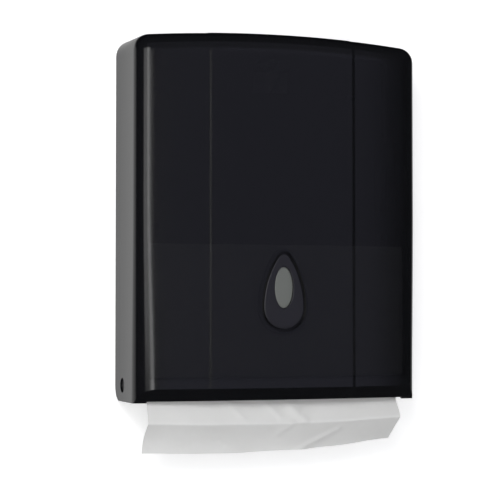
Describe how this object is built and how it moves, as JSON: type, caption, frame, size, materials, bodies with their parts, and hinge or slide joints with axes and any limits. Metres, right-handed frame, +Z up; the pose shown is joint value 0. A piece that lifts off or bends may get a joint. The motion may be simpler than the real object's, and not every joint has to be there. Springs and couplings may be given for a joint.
{
  "type": "folded paper towel dispenser",
  "caption": "Wall dispenser for folded paper towels: bowed smoked cover that swings down on two pins, egg-shaped window insert, key lock in the top and a towel hanging from the slot.",
  "frame": {"origin": "centre of the four wall-screw slots, on the wall plane", "axes": "+Z up, +X to the right as seen from the room, +Y into the wall, so the front faces -Y"},
  "size_m": [0.278, 0.082, 0.3885],
  "materials": {
    "smoked_plastic": "smoked, nearly opaque, glossy moulded plastic",
    "insert_plastic": "black moulded plastic with a soft satin face",
    "sight_window": "frosted grey plastic window",
    "black_plastic": "black moulded plastic",
    "base_plastic": "dark grey moulded plastic, satin",
    "zinc_steel": "zinc-plated steel",
    "lock_chrome": "chromed die-cast lock",
    "towel_paper": "soft white towel paper"
  },
  "bodies": {
    "base": {"back_plate": "base_plastic", "towel_shelf": "base_plastic", "shelf_screws": "zinc_steel", "left_stack_guide": "base_plastic", "right_stack_guide": "base_plastic", "guide_screws": "zinc_steel", "left_hinge_pin": "black_plastic", "right_hinge_pin": "black_plastic", "left_pin_clip": "zinc_steel", "right_pin_clip": "zinc_steel", "lock_strike": "zinc_steel", "strike_screws": "zinc_steel", "towel_stack": "towel_paper", "hanging_towel": "towel_paper"},
    "cover": {"front_cover": "smoked_plastic", "window_bezel": "insert_plastic", "sight_lens": "sight_window", "lens_retainer": "black_plastic", "retainer_screws": "zinc_steel", "lock_housing": "lock_chrome", "lock_nut": "zinc_steel"},
    "lock": {"lock_barrel": "lock_chrome", "lock_cam": "zinc_steel", "cam_washer": "zinc_steel", "cam_screw": "zinc_steel"}
  },
  "joints": [
    {"name": "cover_hinge", "type": "hinge", "parent": "base", "child": "cover", "pos_m": [0, -0.026, -0.215], "axis": [1, 0, 0], "range_deg": [0, 88], "deforming": ["hanging_towel"]},
    {"name": "lock_turn", "type": "hinge", "parent": "cover", "child": "lock", "pos_m": [0, -0.034, 0.1], "axis": [0, 0, -1], "range_deg": [0, 90]}
  ]
}
